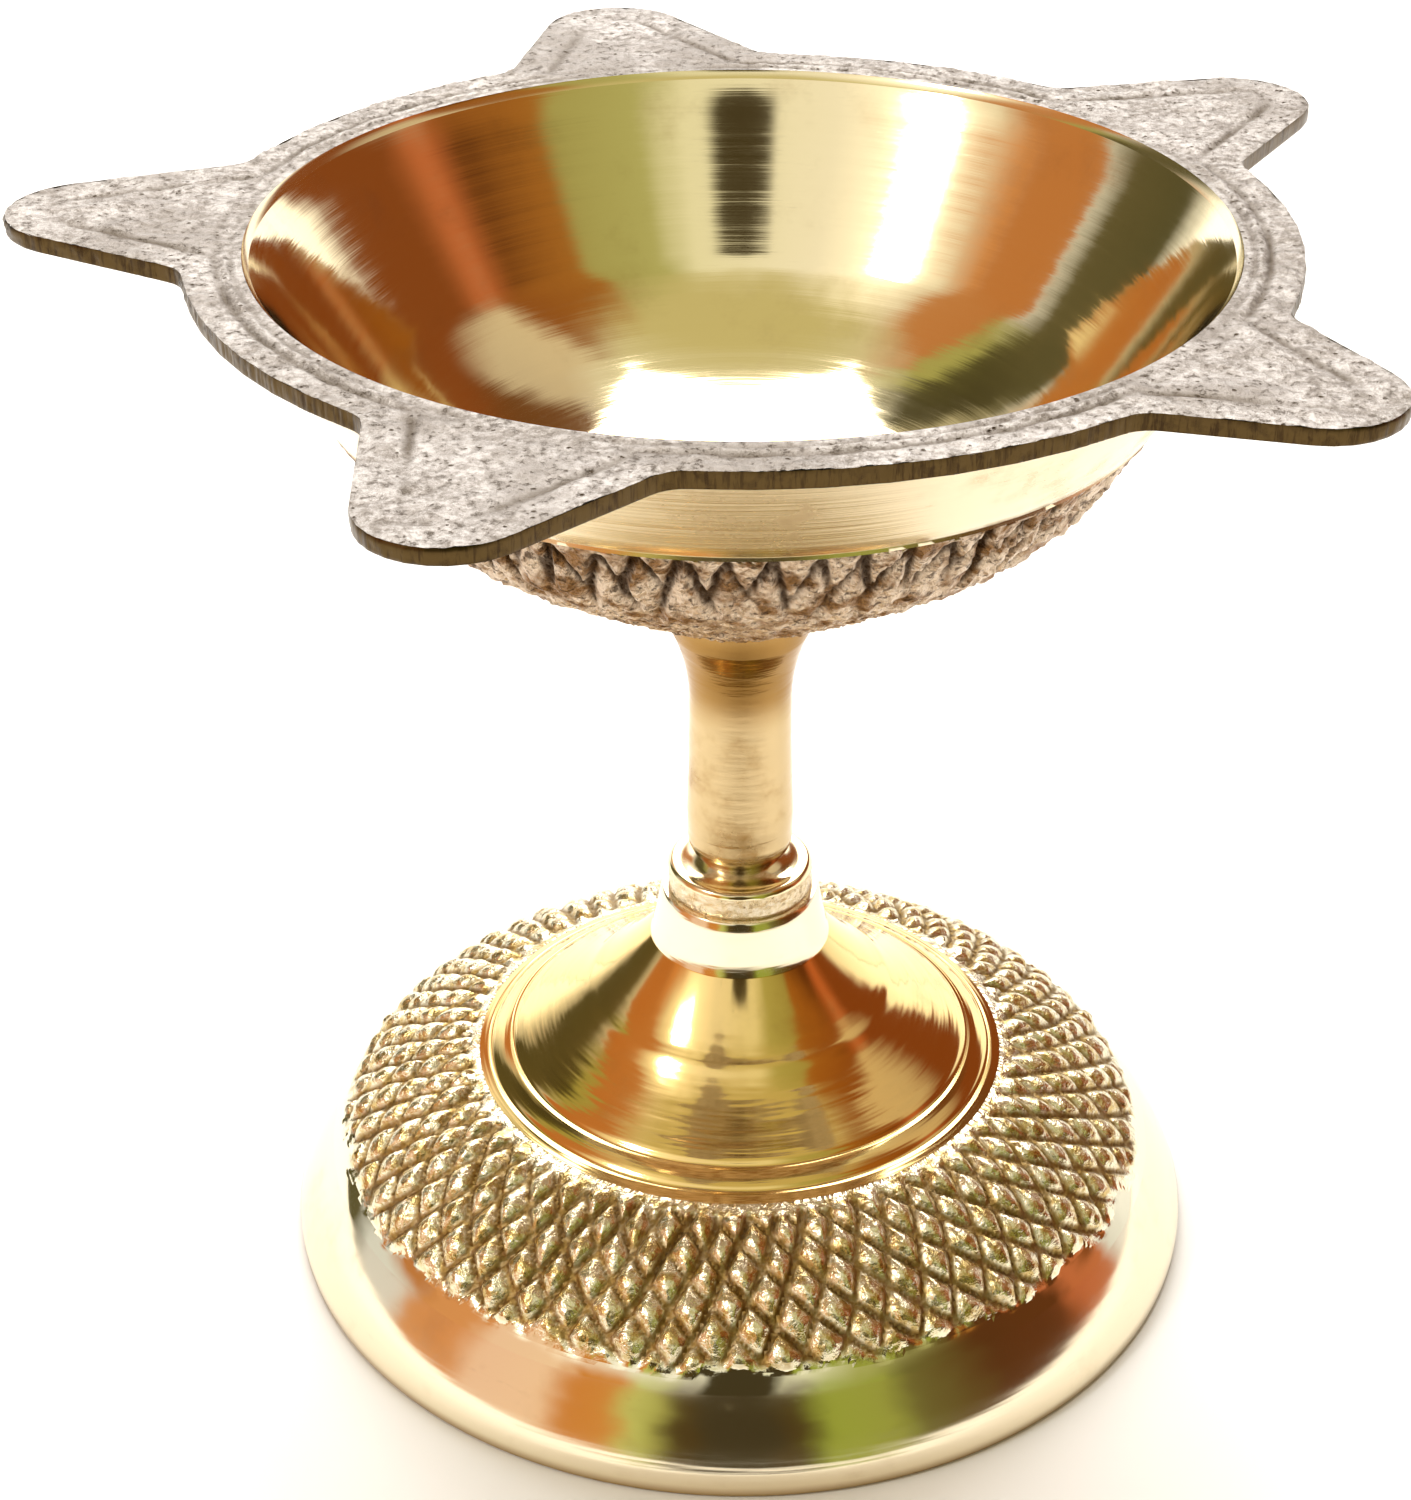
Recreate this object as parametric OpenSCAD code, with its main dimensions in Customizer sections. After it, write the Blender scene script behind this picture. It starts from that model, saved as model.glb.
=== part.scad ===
// Five-wick oil lamp on a pedestal: bowl, stem, collar and hollow base.
// Lengths are millimetres, +Z is up, and the origin lies on the lamp's axis
// in the plane on which the base stands.

/* [Base] */
// Outside diameter of the foot
foot_d = 65; // [60:0.5:70]
// Height of the straight lip at the bottom of the foot
foot_lip_h = 1.4; // [0.8:0.1:2]
// Radius at which the domed foot ends and the hollow upper slope starts
shoulder_r = 18.8; // [17:0.1:20]
// Height of that circle
shoulder_z = 13.5; // [12.5:0.1:14.5]
// How far the domed foot bulges out of its chord
dome_bulge = 2.35; // [1.8:0.05:2.8]
// How far the upper slope sinks below its chord
slope_sink = 0.9; // [0.4:0.05:1.2]
// Radius at the foot of the neck
neck_low_r = 6.3; // [5.8:0.1:6.8]
// Height at the foot of the neck
neck_low_z = 23.2; // [22.4:0.1:24]
// Radius at the top of the neck
neck_top_r = 5.5; // [5.2:0.1:5.7]
// Height of the seat on which the collar rests
seat_z = 27.1; // [26.5:0.1:27.8]
// Thickness of the base casting
base_wall = 1.8; // [1.5:0.1:2.1]
// Height of the lower end of the tapped boss inside the base
boss_low_z = 14.2; // [13.4:0.1:15.5]
// Outside radius of the tapped boss
boss_r = 5.6; // [4.6:0.1:5.8]

/* [Collar] */
// Outside radius of the collar
collar_r = 5.05; // [4.8:0.05:5.2]
// Height of the collar's side
collar_h = 2.1; // [1.8:0.1:2.3]
// Width and height of the turned edge around the collar's top
collar_edge = 0.4; // [0.2:0.05:0.6]
// How far the collar's top rises from its edge to the stem
collar_rise = 0.55; // [0.3:0.05:0.7]

/* [Stem] */
// Radius of the stem where the bowl sits on it
stem_head_r = 4.65; // [4.5:0.05:4.8]
// Height of the stem's top face
stem_top_z = 48.9; // [48.4:0.1:49.4]
// Height at which the flared head runs out into the shaft
flare_low_z = 41.6; // [40.5:0.1:42.5]
// Radius of the shaft at its waist
waist_r = 3.5; // [3.4:0.05:3.6]
// Radius of the shaft at its thickest, low down
swell_r = 3.68; // [3.6:0.02:3.8]
// Height of that thickest place
swell_z = 33.6; // [33:0.1:34.5]
// Height at which the lower end starts to round in
heel_z = 31.7; // [31.4:0.1:32.2]
// Radius of the stem where it meets the collar
heel_r = 2.95; // [2.85:0.05:3.1]

/* [Threads] */
// Diameter of both studs over their threads
stud_d = 4; // [3.8:0.1:4.2]
// Radial clearance between a stud's thread and the base's tapped hole
thread_gap = 0.05; // [0.02:0.01:0.08]
// Depth of the lower stud inside the stem
stem_stud_in = 6; // [5:0.5:7]
// Length of the lower stud below the collar's seat
stem_stud_out = 9.8; // [9.6:0.1:10]
// Depth of the upper stud inside the stem's head
bowl_stud_down = 5; // [4:0.5:6]
// Depth of the upper stud inside the bowl's bottom
bowl_stud_up = 3.1; // [2.5:0.1:3.3]

/* [Bowl] */
// Height of the flange's top face, which is the height of the lamp
rim_z = 75.5; // [75:0.1:76]
// Inside radius of the bowl at its mouth
mouth_r = 30.6; // [30.2:0.1:31]
// Outside radius of the bowl under its flange
bowl_top_r = 31.9; // [31.8:0.1:32.3]
// Radius and height at which the upper wall starts to round into the belly
belly_top = [24.6, 63];
// Radius and height at which the belly runs out into the underside
belly_low = [19, 57.6];
// Radius and height inside at which the wall rounds into the bottom
inner_turn = [23.2, 63.9];
// Height of the lowest point inside the bowl
inner_low_z = 53.2; // [53:0.1:53.6]

/* [Flange] */
// Thickness of the flange
flange_t = 1.1; // [0.9:0.05:1.3]
// Outside radius of the flange between its lips
flange_r = 34.5; // [34:0.1:35.2]
// Directions of the five wick lips, which stand unevenly as cast
lip_angles = [-111.5, -37, 35.5, 103, 175.5];
// Distance of each lip's tip from the axis
lip_reach = [46.2, 45, 46.6, 46.4, 46.6];
// Radius of a lip's rounded tip
lip_tip_r = 5; // [4.5:0.1:5.5]
// Angle between a lip's side and its centre line
lip_side = 24; // [22:0.5:26]
// Radius of the hollow corner between a lip and the flange
lip_corner_r = 2.5; // [1.5:0.1:3]

/* [Hidden] */
$fn = 96;

foot_r = foot_d / 2;
stud_r = stud_d / 2;
tapped_r = stud_r + thread_gap;
// Clearance of a stud that is locked in its own piece
locked_gap = 0.02;
collar_top_z = seat_z + collar_h;
heel_low_z = collar_top_z + collar_rise;
flange_low_z = rim_z - flange_t;
stem_stud_top_z = heel_low_z + stem_stud_in;
stem_stud_low_z = seat_z - stem_stud_out;
bowl_stud_low_z = stem_top_z - bowl_stud_down;
bowl_stud_top_z = stem_top_z + bowl_stud_up;
// Spare depth at the blind end of a hole, and the chamfer on a stud's ends
hole_spare = 0.3;
stud_chamfer = 0.4;
// How far a cutting shape runs past the face it cuts
past = 1;
// Brass as turned and polished, as cast, and as threaded rod
POLISHED = [0.86, 0.70, 0.34];
AS_CAST = [0.74, 0.67, 0.58];
ROD = [0.72, 0.58, 0.30];

// Points of a circular arc from a to b, without a. It stands s out of its
// chord, to the right of the way from a to b, or to the left if s is negative.
function bow(a, b, s, n = 10) =
    let (chord = b - a,
         half = norm(chord) / 2,
         side = [chord[1], -chord[0]] / (2 * half),
         r = (half * half + s * s) / (2 * abs(s)),
         centre = (a + b) / 2 + side * (s - sign(s) * r),
         from = atan2(a[1] - centre[1], a[0] - centre[0]),
         turn = 2 * asin(half / r) * sign(s))
    [for (k = [1:n]) centre + r * [cos(from + turn * k / n), sin(from + turn * k / n)]];

// Outline of the hollow base, right half
module base_profile() {
    lip_top = [foot_r, foot_lip_h];
    shoulder = [shoulder_r, shoulder_z];
    neck_low = [neck_low_r, neck_low_z];
    drop = [base_wall * 0.62, base_wall * 1.05];
    inner_foot = [foot_r - base_wall, 0];
    polygon(concat(
        [[tapped_r, boss_low_z], [boss_r, boss_low_z]],
        [[boss_r, neck_low_z - 2.6 * base_wall]],
        bow([boss_r, neck_low_z - 2.6 * base_wall], shoulder - drop, -slope_sink),
        bow(shoulder - drop, inner_foot, -dome_bulge),
        [[foot_r - 0.4, 0], [foot_r, 0.4], lip_top],
        bow(lip_top, shoulder, dome_bulge),
        bow(shoulder, neck_low, -slope_sink),
        [[neck_top_r, seat_z], [tapped_r, seat_z]]
    ));
}

module base() {
    color(POLISHED)
    rotate_extrude() base_profile();
}

module collar() {
    color(AS_CAST)
    rotate_extrude() polygon([
        [tapped_r, seat_z],
        [collar_r - 0.15, seat_z],
        [collar_r, seat_z + 0.3],
        [collar_r, collar_top_z - collar_edge],
        [collar_r - collar_edge, collar_top_z],
        [heel_r, heel_low_z],
        [tapped_r, heel_low_z]
    ]);
}

// Outline of the solid stem, right half
module stem_profile() {
    head = [stem_head_r, stem_top_z - 1.4];
    flare_low = [waist_r, flare_low_z];
    swell = [swell_r, swell_z];
    heel = [swell_r - 0.06, heel_z];
    polygon(concat(
        [[0, heel_low_z], [heel_r, heel_low_z]],
        bow([heel_r, heel_low_z], heel, 0.25, 6),
        [swell],
        bow(swell, flare_low, -0.05, 6),
        bow(flare_low, head, -0.35),
        [[stem_head_r, stem_top_z], [0, stem_top_z]]
    ));
}

module stem() {
    color(POLISHED)
    difference() {
        rotate_extrude() stem_profile();
        translate([0, 0, heel_low_z - past])
            cylinder(r = stud_r + locked_gap, h = stem_stud_in + hole_spare + past);
        translate([0, 0, bowl_stud_low_z - hole_spare])
            cylinder(r = stud_r + locked_gap, h = bowl_stud_down + hole_spare + past);
    }
}

// Threaded rod between two heights, with chamfered ends
module stud(low_z, top_z) {
    rotate_extrude() polygon([
        [0, low_z],
        [stud_r - stud_chamfer, low_z],
        [stud_r, low_z + stud_chamfer],
        [stud_r, top_z - stud_chamfer],
        [stud_r - stud_chamfer, top_z],
        [0, top_z]
    ]);
}

module stem_stud() {
    color(ROD) stud(stem_stud_low_z, stem_stud_top_z);
}

module bowl_stud() {
    color(ROD) stud(bowl_stud_low_z, bowl_stud_top_z);
}

// Where the corner arc beside a lip of the given reach has its centre
function corner_centre(reach) =
    let (side_offset = (reach - lip_tip_r) * sin(lip_side) + lip_tip_r + lip_corner_r,
         along = sqrt(pow(flange_r + lip_corner_r, 2) - pow(side_offset, 2)))
    [side_offset * sin(lip_side) + along * cos(lip_side),
     side_offset * cos(lip_side) - along * sin(lip_side)];

// Half of the angle that a lip takes up on the flange's edge
function lip_half_angle(reach) = atan2(corner_centre(reach)[1], corner_centre(reach)[0]);

// Half outline of a lip on the +X axis, from the flange's edge to its tip
function half_lip(reach) =
    let (c = corner_centre(reach),
         rim_way = lip_half_angle(reach) + 180,
         side_way = 270 - lip_side,
         steps = 5)
    concat(
        [for (k = [0:steps])
            let (a = rim_way + (side_way - rim_way) * k / steps)
            c + lip_corner_r * [cos(a), sin(a)]],
        [for (k = [0:steps])
            let (a = (90 - lip_side) * (1 - k / steps))
            [reach - lip_tip_r, 0] + lip_tip_r * [cos(a), sin(a)]]
    );

function turned(p, a) = [p[0] * cos(a) - p[1] * sin(a), p[0] * sin(a) + p[1] * cos(a)];

function whole_lip(a, reach) =
    let (upper = half_lip(reach), n = len(upper))
    concat(
        [for (p = upper) turned([p[0], -p[1]], a)],
        [for (k = [n - 2:-1:0]) turned(upper[k], a)]
    );

// The flange's edge from the end of one lip to the start of the next
function edge_between(from, to, steps = 7) =
    [for (k = [1:steps - 1])
        let (a = from + (to - from) * k / steps)
        flange_r * [cos(a), sin(a)]];

function flange_outline() =
    let (n = len(lip_angles))
    [for (i = [0:n - 1])
        let (next = (i + 1) % n,
             turn = next == 0 ? 360 : 0)
        each concat(
            whole_lip(lip_angles[i], lip_reach[i]),
            edge_between(lip_angles[i] + lip_half_angle(lip_reach[i]),
                         lip_angles[next] + turn - lip_half_angle(lip_reach[next]))
        )];

// Outline of the bowl's wall up to the flange's top face, right half
module bowl_profile() {
    seat = [stem_head_r, stem_top_z];
    mouth = [mouth_r, rim_z];
    wall_top = [bowl_top_r, flange_low_z];
    polygon(concat(
        [[0, stem_top_z], seat],
        bow(seat, belly_low, 0.1, 3),
        bow(belly_low, belly_top, 0.55, 8),
        bow(belly_top, wall_top, 0.15, 3),
        [[bowl_top_r + 0.6, flange_low_z + 0.3], [bowl_top_r + 0.6, rim_z], mouth],
        bow(mouth, inner_turn, -0.12, 3),
        bow(inner_turn, [0, inner_low_z], -2.8, 12)
    ));
}

module bowl() {
    color(AS_CAST)
    difference() {
        union() {
            rotate_extrude() bowl_profile();
            difference() {
                translate([0, 0, flange_low_z])
                    linear_extrude(flange_t) polygon(flange_outline());
                translate([0, 0, flange_low_z - past])
                    cylinder(r = bowl_top_r, h = flange_t + 2 * past);
            }
        }
        translate([0, 0, stem_top_z - past])
            cylinder(r = stud_r + locked_gap, h = bowl_stud_up + hole_spare + past);
    }
}

base();
collar();
stem();
stem_stud();
bowl_stud();
bowl();
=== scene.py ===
"""A five-wick brass pedestal oil lamp: base, collar, stem, two studs and bowl.

Sizes are millimetres, and MM turns them to metres where a mesh is made. A turned piece
is spun from its outline zone by zone, and cut work and castings move its vertices by formula.
"""
import logging
import math
from dataclasses import dataclass
from enum import Enum
from typing import Any, Callable, ClassVar, Optional, Sequence, Union

import bmesh
import bpy
import numpy as np
from mathutils import Euler, Matrix, Vector, kdtree, noise


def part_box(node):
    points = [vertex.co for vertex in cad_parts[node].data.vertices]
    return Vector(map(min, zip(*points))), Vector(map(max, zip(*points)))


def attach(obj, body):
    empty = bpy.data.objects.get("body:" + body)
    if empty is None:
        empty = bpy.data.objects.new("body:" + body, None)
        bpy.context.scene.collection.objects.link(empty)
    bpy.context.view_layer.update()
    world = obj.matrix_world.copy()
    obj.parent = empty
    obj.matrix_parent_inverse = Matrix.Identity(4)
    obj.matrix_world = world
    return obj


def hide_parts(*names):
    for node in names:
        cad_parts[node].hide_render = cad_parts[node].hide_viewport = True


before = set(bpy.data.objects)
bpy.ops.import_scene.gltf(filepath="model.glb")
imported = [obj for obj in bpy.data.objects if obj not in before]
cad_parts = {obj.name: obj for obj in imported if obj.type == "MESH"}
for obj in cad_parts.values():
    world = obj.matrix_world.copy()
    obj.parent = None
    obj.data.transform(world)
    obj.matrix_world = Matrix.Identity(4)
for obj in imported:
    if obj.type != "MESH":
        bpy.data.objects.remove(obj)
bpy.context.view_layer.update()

LOG = logging.getLogger("oil_lamp")
MM = 0.001
# Points closer than this, in millimetres, are one
MERGE = 0.002

Point = tuple[float, float]
Colour = tuple[float, float, float]
Shape = Callable[[np.ndarray], np.ndarray]


# ---------------------------------------------------------------- outlines

@dataclass(frozen=True)
class Bow:
    """An arc that stands out of its chord to the right of the way from start to end.

    Args:
        start: Radius and height of the first point.
        end: Radius and height of the last point.
        rise: How far the arc's middle stands out, to the left where it is negative.
    """

    start: Point
    end: Point
    rise: float

    @property
    def radius(self) -> float:
        """Radius of the arc's circle."""
        half = math.dist(self.start, self.end) / 2
        return (half ** 2 + self.rise ** 2) / (2 * abs(self.rise))

    @property
    def centre(self) -> Point:
        """Centre of the arc's circle."""
        chord = (self.end[0] - self.start[0], self.end[1] - self.start[1])
        length = math.hypot(*chord)
        back = (self.rise - math.copysign(self.radius, self.rise)) / length
        return ((self.start[0] + self.end[0]) / 2 + chord[1] * back,
                (self.start[1] + self.end[1]) / 2 - chord[0] * back)

    def points(self, step: float) -> list[Point]:
        """Points along the arc, its start left out.

        Args:
            step: Longest distance between two points.

        Returns:
            Radius and height of each point.
        """
        half = math.dist(self.start, self.end) / 2
        turn = 2 * math.asin(half / self.radius) * math.copysign(1, self.rise)
        count = max(2, math.ceil(abs(turn) * self.radius / step))
        cx, cz = self.centre
        first = math.atan2(self.start[1] - cz, self.start[0] - cx)
        return [(cx + self.radius * math.cos(first + turn * i / count),
                 cz + self.radius * math.sin(first + turn * i / count))
                for i in range(1, count + 1)]


def straight(start: Point, end: Point, step: float) -> list[Point]:
    """Points along a straight line, its start left out.

    Args:
        start: Radius and height of the first point.
        end: Radius and height of the last point.
        step: Longest distance between two points.

    Returns:
        Radius and height of each point.
    """
    count = max(1, math.ceil(math.dist(start, end) / step))
    return [(start[0] + (end[0] - start[0]) * i / count,
             start[1] + (end[1] - start[1]) * i / count) for i in range(1, count + 1)]


def smooth_step(low: float, high: float, value: np.ndarray) -> np.ndarray:
    """A soft step from 0 at low to 1 at high.

    Args:
        low: Value at which the step starts.
        high: Value at which it ends, below low for a falling step.
        value: Values to step.

    Returns:
        The step at each value.
    """
    part = np.clip((value - low) / (high - low), 0, 1)
    return part * part * (3 - 2 * part)


def bell(value: np.ndarray, middle: float, width: float) -> np.ndarray:
    """A bell curve of height 1 around a middle value."""
    return np.exp(-((value - middle) / width) ** 2)


def grain(points: np.ndarray, size: float, octaves: int, seed: int) -> np.ndarray:
    """Cloudy noise in space, about -1 to 1.

    Args:
        points: Places in millimetres, one row each.
        size: Width of the largest lumps in millimetres.
        octaves: Number of finer layers.
        seed: Shifts the noise, so that two surfaces differ.

    Returns:
        One number for each place.
    """
    shift = Vector((seed * 17.3, seed * 5.9, seed * 9.1))
    return np.array([noise.fractal(Vector(p) / size + shift, 0.6, 2.1, octaves)
                     for p in points.tolist()])


def around(places: np.ndarray) -> tuple[np.ndarray, np.ndarray]:
    """Angle around the axis in radians, and distance from it, of each place."""
    return np.arctan2(places[:, 1], places[:, 0]), np.hypot(places[:, 0], places[:, 1])


def pushed(places: np.ndarray, angle: np.ndarray, out: np.ndarray,
           up: Union[np.ndarray, float] = 0.0) -> np.ndarray:
    """Moves places away from the axis and upwards.

    Args:
        places: Places in millimetres, one row each.
        angle: Angle of each place around the axis.
        out: How far each moves away from the axis.
        up: How far each moves up.

    Returns:
        The moved places.
    """
    return places + np.stack([np.cos(angle) * out, np.sin(angle) * out, out * 0 + up], 1)


# ---------------------------------------------------------------- turned shells

def finished(bm: bmesh.types.BMesh, name: str, finishes: Sequence[bpy.types.Material],
             crease: float) -> bpy.types.Object:
    """Closes the seams of a surface and makes a piece of it.

    Args:
        bm: The surface in millimetres, freed here.
        name: Name of the piece.
        finishes: Materials in the order of the piece's finishes.
        crease: Angle in degrees above which an edge stays sharp.

    Returns:
        The finished object, at the origin.
    """
    bmesh.ops.remove_doubles(bm, verts=bm.verts, dist=MERGE)
    bmesh.ops.recalc_face_normals(bm, faces=bm.faces)
    bmesh.ops.scale(bm, vec=(MM, MM, MM), verts=bm.verts)
    mesh = bpy.data.meshes.new(name)
    bm.to_mesh(mesh)
    bm.free()
    mesh.shade_smooth()
    mesh.set_sharp_from_angle(angle=math.radians(crease))
    for finish in finishes:
        mesh.materials.append(finish)
    made = bpy.data.objects.new(name, mesh)
    bpy.context.scene.collection.objects.link(made)
    return made


class Turning:
    """A piece in the making: zones spun from outlines, each with its own finish."""

    def __init__(self, columns: int) -> None:
        """Starts with nothing on the spindle.

        Args:
            columns: Number of faces around the axis.
        """
        self.columns = columns
        self.wedge = max(n for n in range(1, math.isqrt(columns) + 1) if columns % n == 0)
        self.bm = bmesh.new()

    def turn(self, outline: Sequence[Point]) -> bmesh.types.BMesh:
        """Spins an outline into a wedge, and the wedge into the whole round.

        Args:
            outline: Radius and height of each point in millimetres.

        Returns:
            The turned surface.
        """
        part = bmesh.new()
        verts = [part.verts.new((r, 0, z)) for r, z in outline]
        edges = [part.edges.new(pair) for pair in zip(verts, verts[1:])]
        copies = self.columns // self.wedge
        slice_angle = math.tau / copies
        bmesh.ops.spin(part, geom=verts + edges, cent=(0, 0, 0), axis=(0, 0, 1),
                       angle=slice_angle, steps=self.wedge)
        bmesh.ops.spin(part, geom=[*part.verts, *part.edges, *part.faces], cent=(0, 0, 0),
                       axis=(0, 0, 1), angle=math.tau - slice_angle, steps=copies - 1,
                       use_duplicate=True)
        bmesh.ops.remove_doubles(part, verts=part.verts, dist=MERGE)
        return part

    def zone(self, outline: Sequence[Point], finish: Enum, shape: Optional[Shape] = None,
             marks: Optional[Shape] = None) -> None:
        """Spins one zone of the piece.

        Args:
            outline: Radius and height of each point in millimetres.
            finish: Which of the piece's finishes its faces wear.
            shape: Moves the zone's points, in millimetres.
            marks: Gives two numbers for each point, from 0 to 1: how deep in a cut
                it lies, and whether it is worked at all.
        """
        part = self.turn(outline)
        for face in part.faces:
            face.material_index = finish.value
        mesh = bpy.data.meshes.new("zone")
        part.to_mesh(mesh)
        part.free()
        flat = np.zeros(len(mesh.vertices) * 3, np.float32)
        mesh.vertices.foreach_get("co", flat)
        places = flat.reshape(-1, 3).astype(float)
        layers = [mesh.attributes.new(name, "FLOAT", "POINT") for name in ("hollow", "worked")]
        if marks:
            for layer, values in zip(layers, marks(places).T.astype(np.float32)):
                layer.data.foreach_set("value", values)
        if shape:
            mesh.vertices.foreach_set("co", shape(places).astype(np.float32).ravel())
        self.bm.from_mesh(mesh)
        bpy.data.meshes.remove(mesh)

    def piece(self, name: str, finishes: Sequence[bpy.types.Material],
              crease: float) -> bpy.types.Object:
        """Makes the piece of all its zones, with materials in the order of its finishes."""
        return finished(self.bm, name, finishes, crease)


@dataclass(frozen=True)
class CutPattern:
    """Two crossed families of V grooves cut by hand around a turned surface.

    Args:
        counts: Number of grooves of each family around the axis.
        lengths: How far along the outline a groove runs as it moves on by one pitch,
            below zero where the family leans the other way.
        begin: Distance along the outline at which the band starts.
        depth: Depth of a groove.
        half_width: Half the width of a groove at its top.
        crown: How far a lozenge's middle is rounded up.
        wander: How far a groove strays, as a part of its pitch.
        tilt: How far a lozenge's edge is knocked up or down.
        reach: How far the grooves run along the outline.
        tail: How unevenly they end.
        seed: Seed of the unevenness.
    """

    counts: tuple[int, int]
    lengths: tuple[float, float]
    begin: float
    depth: float
    half_width: float
    crown: float
    wander: float
    tilt: float
    reach: float
    tail: float
    seed: int
    # Weakest and strongest groove
    gains: ClassVar[Point] = (0.65, 1.2)
    # How fast a groove wavers along its way
    waver: ClassVar[float] = 0.9
    # How unevenly the grooves start, and over what length
    onset: ClassVar[Point] = (4, 0.4)
    # Length of the table of uneven lozenges, and the steps with which it is read
    lozenges: ClassVar[int] = 1009
    strides: ClassVar[tuple[int, int]] = (37, 101)
    # How dirty grooves and corners are, and how narrow a corner is
    groove_dirt: ClassVar[float] = 0.75
    corner_dirt: ClassVar[float] = 0.45
    corner: ClassVar[int] = 8

    def relief(self, angle: np.ndarray, along: np.ndarray,
               radius: np.ndarray) -> tuple[np.ndarray, np.ndarray, np.ndarray]:
        """Height of the cut surface over the plain one, and how it is worked.

        Args:
            angle: Angle around the axis in radians.
            along: Distance along the outline from the band's first edge.
            radius: Distance from the axis.

        Returns:
            Height in millimetres, below zero in a groove; how deep in a groove, from
            0 to 1; and 1 inside the band.
        """
        rng = np.random.default_rng(self.seed)
        groove = np.zeros_like(angle)
        parts, cells, ends = [], [], []
        for count, length in zip(self.counts, self.lengths):
            pitch = math.tau * radius / count
            stray = rng.uniform(-self.wander, self.wander, (2, count))
            gain = rng.uniform(*self.gains, count)
            end = self.reach + rng.uniform(-self.tail, self.tail, count)
            place = angle / math.tau * count + along / length
            line = np.round(place).astype(int)
            which = np.mod(line, count)
            bent = stray[0][which] + stray[1][which] * np.sin(along * self.waver + which)
            off = np.abs(place - line - bent) * pitch * np.cos(np.arctan2(pitch, abs(length)))
            fade = np.clip((end[which] - along) / self.tail, 0, 1)
            late = self.begin + stray[0][which] * self.onset[0]
            start = np.clip((along - late) / self.onset[1], 0, 1)
            cut = np.clip(1 - off / self.half_width, 0, 1) * gain[which] * fade * start
            groove = np.maximum(groove, cut)
            parts.append(place - np.floor(place))
            cells.append(np.floor(place).astype(int))
            ends.append(fade * start)
        table = rng.uniform(-1, 1, (3, self.lozenges))
        cell = np.mod(cells[0] * self.strides[0] + cells[1] * self.strides[1], self.lozenges)
        inside = np.minimum(ends[0], ends[1])
        crown = np.sin(math.pi * parts[0]) * np.sin(math.pi * parts[1])
        knock = (table[0][cell] * 0.5 + table[1][cell] * (parts[0] - 0.5) * 2
                 + table[2][cell] * (parts[1] - 0.5) * 2)
        raised = (crown * self.crown + knock * self.tilt) * inside * (1 - groove)
        low = np.clip(groove * self.groove_dirt
                      + (1 - crown) ** self.corner * inside * self.corner_dirt, 0, 1)
        return raised - groove * self.depth, low, np.maximum(ends[0], ends[1])

    def marks(self, angle: np.ndarray, along: np.ndarray, radius: np.ndarray) -> np.ndarray:
        """How deep in a groove each point lies, and whether it is worked at all."""
        _, low, worked = self.relief(angle, along, radius)
        return np.stack([low, worked], 1)


# ---------------------------------------------------------------- finishes

class Wire:
    """An output socket whose values can be worked out like numbers."""

    def __init__(self, bench: "Bench", socket: bpy.types.NodeSocket) -> None:
        """Wraps a socket of that bench's tree."""
        self.bench = bench
        self.socket = socket

    def _math(self, operation: str, *others: Union["Wire", float],
              swap: bool = False) -> "Wire":
        """Adds a Math node on this value and others.

        Args:
            operation: Name of the node's operation.
            others: The other values, in order.
            swap: Whether this value comes second.

        Returns:
            The node's result.
        """
        terms: list[Any] = [self, *others]
        if swap:
            terms.reverse()
        made = self.bench.node("ShaderNodeMath", {"operation": operation},
                               dict(enumerate(terms)))
        return Wire(self.bench, made.outputs[0])

    def __add__(self, other: Union["Wire", float]) -> "Wire":
        """Sum of two values."""
        return self._math("ADD", other)

    __radd__ = __add__

    def __sub__(self, other: Union["Wire", float]) -> "Wire":
        """This value less the other."""
        return self._math("SUBTRACT", other)

    def __rsub__(self, other: float) -> "Wire":
        """The other value less this one."""
        return self._math("SUBTRACT", other, swap=True)

    def __mul__(self, other: Union["Wire", float]) -> "Wire":
        """Product of two values."""
        return self._math("MULTIPLY", other)

    __rmul__ = __mul__

    def __truediv__(self, other: Union["Wire", float]) -> "Wire":
        """This value over the other."""
        return self._math("DIVIDE", other)

    def __pow__(self, other: float) -> "Wire":
        """This value to a power."""
        return self._math("POWER", other)

    def step(self, low: float, high: float) -> "Wire":
        """A soft step from 0 at low to 1 at high."""
        made = self.bench.node("ShaderNodeMapRange", {"interpolation_type": "SMOOTHSTEP"},
                               {"Value": self, "From Min": low, "From Max": high})
        return Wire(self.bench, made.outputs[0])


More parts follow.
